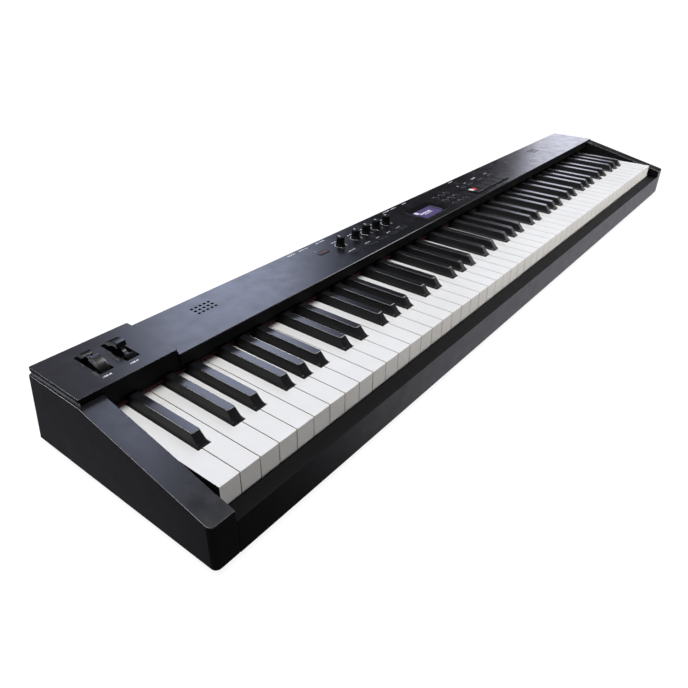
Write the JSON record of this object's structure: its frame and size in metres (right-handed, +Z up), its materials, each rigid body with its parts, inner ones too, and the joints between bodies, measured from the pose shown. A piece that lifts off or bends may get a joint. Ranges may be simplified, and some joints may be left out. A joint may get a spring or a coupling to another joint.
{
  "type": "stage piano",
  "caption": "Full-size stage piano with weighted keys, pitch and modulation wheels, knobs, push buttons, a lit display, speaker grilles and rear connectors.",
  "frame": {"origin": "on the surface the feet stand on, under the middle of the case", "axes": "+X from the bass end to the treble end, +Y from the player to the rear panel, +Z up"},
  "size_m": [1.28, 0.267, 0.1123],
  "materials": {
    "case_plastic": "fine satin black",
    "panel_metal": "satin dark grey with a soft sheen",
    "natural_plastic": "ivory white, lightly textured satin",
    "sharp_plastic": "matt black, lightly textured",
    "felt": "dark red felt",
    "control_plastic": "satin black",
    "voice_plastic": "satin dark grey, lit from inside",
    "lens_plastic": "clear gloss over black",
    "display": "lit violet",
    "board": "green circuit board",
    "steel": "zinc-plated sheet",
    "rubber": "matt black rubber"
  },
  "bodies": {
    "case": {"bottom_chassis": "case_plastic", "left_end_block": "case_plastic", "right_end_block": "case_plastic", "top_panel": "panel_metal", "wheel_plate": "case_plastic", "front_rail": "case_plastic", "rear_panel": "case_plastic", "key_frame": "steel", "key_felt": "felt", "display_lens": "lens_plastic", "display_module": "display", "left_speaker": "steel", "right_speaker": "steel", "wheel_bracket": "steel", "panel_board": "board", "jack_board": "board", "foot_1": "rubber", "foot_2": "rubber", "foot_3": "rubber", "foot_4": "rubber"},
    "naturals_1": {"naturals_1": "natural_plastic"},
    "naturals_2": {"naturals_2": "natural_plastic"},
    "naturals_3": {"naturals_3": "natural_plastic"},
    "naturals_4": {"naturals_4": "natural_plastic"},
    "naturals_5": {"naturals_5": "natural_plastic"},
    "naturals_6": {"naturals_6": "natural_plastic"},
    "naturals_7": {"naturals_7": "natural_plastic"},
    "sharps_1": {"sharps_1": "sharp_plastic"},
    "sharps_2": {"sharps_2": "sharp_plastic"},
    "sharps_3": {"sharps_3": "sharp_plastic"},
    "sharps_4": {"sharps_4": "sharp_plastic"},
    "sharps_5": {"sharps_5": "sharp_plastic"},
    "sharps_6": {"sharps_6": "sharp_plastic"},
    "sharps_7": {"sharps_7": "sharp_plastic"},
    "pitch_wheel": {"pitch_wheel": "control_plastic"},
    "modulation_wheel": {"modulation_wheel": "control_plastic"},
    "volume_knob": {"volume_knob": "control_plastic"},
    "effect_knob_1": {"effect_knob_1": "control_plastic"},
    "effect_knob_2": {"effect_knob_2": "control_plastic"},
    "effect_knob_3": {"effect_knob_3": "control_plastic"},
    "effect_knob_4": {"effect_knob_4": "control_plastic"},
    "left_button": {"left_button": "control_plastic"},
    "volume_button": {"volume_button": "control_plastic"},
    "effect_button_1": {"effect_button_1": "control_plastic"},
    "effect_button_2": {"effect_button_2": "control_plastic"},
    "effect_button_3": {"effect_button_3": "control_plastic"},
    "effect_button_4": {"effect_button_4": "control_plastic"},
    "voice_button_1": {"voice_button_1": "voice_plastic"},
    "voice_button_2": {"voice_button_2": "voice_plastic"},
    "voice_button_3": {"voice_button_3": "voice_plastic"},
    "voice_button_4": {"voice_button_4": "voice_plastic"},
    "voice_button_5": {"voice_button_5": "voice_plastic"},
    "mode_button_1": {"mode_button_1": "control_plastic"},
    "mode_button_2": {"mode_button_2": "control_plastic"},
    "mode_button_3": {"mode_button_3": "control_plastic"},
    "mode_button_4": {"mode_button_4": "control_plastic"},
    "pad_row_1": {"pad_row_1": "control_plastic"},
    "pad_row_2": {"pad_row_2": "control_plastic"},
    "pad_row_3": {"pad_row_3": "control_plastic"},
    "power_button": {"power_button": "control_plastic"}
  },
  "joints": [
    {"name": "naturals_1_press", "type": "hinge", "parent": "case", "child": "naturals_1", "pos_m": [0, 0.088, 0.052], "axis": [1, 0, 0], "range_deg": [0, 2.86], "stiffness_Nm_per_rad": 5, "springref_deg": -17.19},
    {"name": "sharps_1_press", "type": "hinge", "parent": "case", "child": "sharps_1", "pos_m": [0, 0.101, 0.061], "axis": [1, 0, 0], "range_deg": [0, 2.86], "stiffness_Nm_per_rad": 2, "springref_deg": -17.19},
    {"name": "naturals_2_press", "type": "hinge", "parent": "case", "child": "naturals_2", "pos_m": [0, 0.088, 0.052], "axis": [1, 0, 0], "range_deg": [0, 2.86], "stiffness_Nm_per_rad": 4, "springref_deg": -17.19},
    {"name": "sharps_2_press", "type": "hinge", "parent": "case", "child": "sharps_2", "pos_m": [0, 0.101, 0.061], "axis": [1, 0, 0], "range_deg": [0, 2.86], "stiffness_Nm_per_rad": 2, "springref_deg": -17.19},
    {"name": "naturals_3_press", "type": "hinge", "parent": "case", "child": "naturals_3", "pos_m": [0, 0.088, 0.052], "axis": [1, 0, 0], "range_deg": [0, 2.86], "stiffness_Nm_per_rad": 4, "springref_deg": -17.19},
    {"name": "sharps_3_press", "type": "hinge", "parent": "case", "child": "sharps_3", "pos_m": [0, 0.101, 0.061], "axis": [1, 0, 0], "range_deg": [0, 2.86], "stiffness_Nm_per_rad": 2, "springref_deg": -17.19},
    {"name": "naturals_4_press", "type": "hinge", "parent": "case", "child": "naturals_4", "pos_m": [0, 0.088, 0.052], "axis": [1, 0, 0], "range_deg": [0, 2.86], "stiffness_Nm_per_rad": 4, "springref_deg": -17.19},
    {"name": "sharps_4_press", "type": "hinge", "parent": "case", "child": "sharps_4", "pos_m": [0, 0.101, 0.061], "axis": [1, 0, 0], "range_deg": [0, 2.86], "stiffness_Nm_per_rad": 2, "springref_deg": -17.19},
    {"name": "naturals_5_press", "type": "hinge", "parent": "case", "child": "naturals_5", "pos_m": [0, 0.088, 0.052], "axis": [1, 0, 0], "range_deg": [0, 2.86], "stiffness_Nm_per_rad": 4, "springref_deg": -17.19},
    {"name": "sharps_5_press", "type": "hinge", "parent": "case", "child": "sharps_5", "pos_m": [0, 0.101, 0.061], "axis": [1, 0, 0], "range_deg": [0, 2.86], "stiffness_Nm_per_rad": 2, "springref_deg": -17.19},
    {"name": "naturals_6_press", "type": "hinge", "parent": "case", "child": "naturals_6", "pos_m": [0, 0.088, 0.052], "axis": [1, 0, 0], "range_deg": [0, 2.86], "stiffness_Nm_per_rad": 4, "springref_deg": -17.19},
    {"name": "sharps_6_press", "type": "hinge", "parent": "case", "child": "sharps_6", "pos_m": [0, 0.101, 0.061], "axis": [1, 0, 0], "range_deg": [0, 2.86], "stiffness_Nm_per_rad": 2, "springref_deg": -17.19},
    {"name": "naturals_7_press", "type": "hinge", "parent": "case", "child": "naturals_7", "pos_m": [0, 0.088, 0.052], "axis": [1, 0, 0], "range_deg": [0, 2.86], "stiffness_Nm_per_rad": 4.5, "springref_deg": -17.19},
    {"name": "sharps_7_press", "type": "hinge", "parent": "case", "child": "sharps_7", "pos_m": [0, 0.101, 0.061], "axis": [1, 0, 0], "range_deg": [0, 2.86], "stiffness_Nm_per_rad": 2, "springref_deg": -17.19},
    {"name": "pitch_wheel_turn", "type": "hinge", "parent": "case", "child": "pitch_wheel", "pos_m": [-0.5957, 0.0733, 0.0898], "axis": [1, 0, 0], "range_deg": [-55, 55], "stiffness_Nm_per_rad": 0.05},
    {"name": "modulation_wheel_turn", "type": "hinge", "parent": "case", "child": "modulation_wheel", "pos_m": [-0.5667, 0.0733, 0.0898], "axis": [-1, 0, 0], "range_deg": [0, 70]},
    {"name": "volume_knob_turn", "type": "hinge", "parent": "case", "child": "volume_knob", "pos_m": [-0.2115, 0.0802, 0.096], "axis": [0, 0, -1], "range_deg": [-150, 150]},
    {"name": "effect_knob_1_turn", "type": "hinge", "parent": "case", "child": "effect_knob_1", "pos_m": [-0.177, 0.0802, 0.096], "axis": [0, 0, -1], "range_deg": [-150, 150]},
    {"name": "effect_knob_2_turn", "type": "hinge", "parent": "case", "child": "effect_knob_2", "pos_m": [-0.152, 0.0802, 0.096], "axis": [0, 0, -1], "range_deg": [-150, 150]},
    {"name": "effect_knob_3_turn", "type": "hinge", "parent": "case", "child": "effect_knob_3", "pos_m": [-0.127, 0.0802, 0.096], "axis": [0, 0, -1], "range_deg": [-150, 150]},
    {"name": "effect_knob_4_turn", "type": "hinge", "parent": "case", "child": "effect_knob_4", "pos_m": [-0.102, 0.0802, 0.096], "axis": [0, 0, -1], "range_deg": [-150, 150]},
    {"name": "voice_button_1_press", "type": "slide", "parent": "case", "child": "voice_button_1", "axis": [0, 0, -1], "range_m": [0, 0.0008], "stiffness_N_per_m": 600, "springref_m": -0.0015},
    {"name": "voice_button_2_press", "type": "slide", "parent": "case", "child": "voice_button_2", "axis": [0, 0, -1], "range_m": [0, 0.0008], "stiffness_N_per_m": 600, "springref_m": -0.0015},
    {"name": "voice_button_3_press", "type": "slide", "parent": "case", "child": "voice_button_3", "axis": [0, 0, -1], "range_m": [0, 0.0008], "stiffness_N_per_m": 600, "springref_m": -0.0015},
    {"name": "voice_button_4_press", "type": "slide", "parent": "case", "child": "voice_button_4", "axis": [0, 0, -1], "range_m": [0, 0.0008], "stiffness_N_per_m": 600, "springref_m": -0.0015},
    {"name": "voice_button_5_press", "type": "slide", "parent": "case", "child": "voice_button_5", "axis": [0, 0, -1], "range_m": [0, 0.0008], "stiffness_N_per_m": 600, "springref_m": -0.0015},
    {"name": "mode_button_1_press", "type": "slide", "parent": "case", "child": "mode_button_1", "axis": [0, 0, -1], "range_m": [0, 0.0008], "stiffness_N_per_m": 600, "springref_m": -0.0015},
    {"name": "mode_button_2_press", "type": "slide", "parent": "case", "child": "mode_button_2", "axis": [0, 0, -1], "range_m": [0, 0.0008], "stiffness_N_per_m": 600, "springref_m": -0.0015},
    {"name": "mode_button_3_press", "type": "slide", "parent": "case", "child": "mode_button_3", "axis": [0, 0, -1], "range_m": [0, 0.0008], "stiffness_N_per_m": 600, "springref_m": -0.0015},
    {"name": "mode_button_4_press", "type": "slide", "parent": "case", "child": "mode_button_4", "axis": [0, 0, -1], "range_m": [0, 0.0008], "stiffness_N_per_m": 600, "springref_m": -0.0015},
    {"name": "pad_row_1_press", "type": "slide", "parent": "case", "child": "pad_row_1", "axis": [0, 0, -1], "range_m": [0, 0.0008], "stiffness_N_per_m": 900, "springref_m": -0.0015},
    {"name": "pad_row_2_press", "type": "slide", "parent": "case", "child": "pad_row_2", "axis": [0, 0, -1], "range_m": [0, 0.0008], "stiffness_N_per_m": 900, "springref_m": -0.0015},
    {"name": "pad_row_3_press", "type": "slide", "parent": "case", "child": "pad_row_3", "axis": [0, 0, -1], "range_m": [0, 0.0008], "stiffness_N_per_m": 900, "springref_m": -0.0015},
    {"name": "left_button_press", "type": "slide", "parent": "case", "child": "left_button", "axis": [0, 0, -1], "range_m": [0, 0.0008], "stiffness_N_per_m": 600, "springref_m": -0.0015},
    {"name": "volume_button_press", "type": "slide", "parent": "case", "child": "volume_button", "axis": [0, 0, -1], "range_m": [0, 0.0008], "stiffness_N_per_m": 600, "springref_m": -0.0015},
    {"name": "effect_button_1_press", "type": "slide", "parent": "case", "child": "effect_button_1", "axis": [0, 0, -1], "range_m": [0, 0.0008], "stiffness_N_per_m": 600, "springref_m": -0.0015},
    {"name": "effect_button_2_press", "type": "slide", "parent": "case", "child": "effect_button_2", "axis": [0, 0, -1], "range_m": [0, 0.0008], "stiffness_N_per_m": 600, "springref_m": -0.0015},
    {"name": "effect_button_3_press", "type": "slide", "parent": "case", "child": "effect_button_3", "axis": [0, 0, -1], "range_m": [0, 0.0008], "stiffness_N_per_m": 600, "springref_m": -0.0015},
    {"name": "effect_button_4_press", "type": "slide", "parent": "case", "child": "effect_button_4", "axis": [0, 0, -1], "range_m": [0, 0.0008], "stiffness_N_per_m": 600, "springref_m": -0.0015},
    {"name": "power_button_press", "type": "slide", "parent": "case", "child": "power_button", "axis": [0, -1, 0], "range_m": [0, 0.002], "stiffness_N_per_m": 500, "springref_m": -0.002}
  ]
}
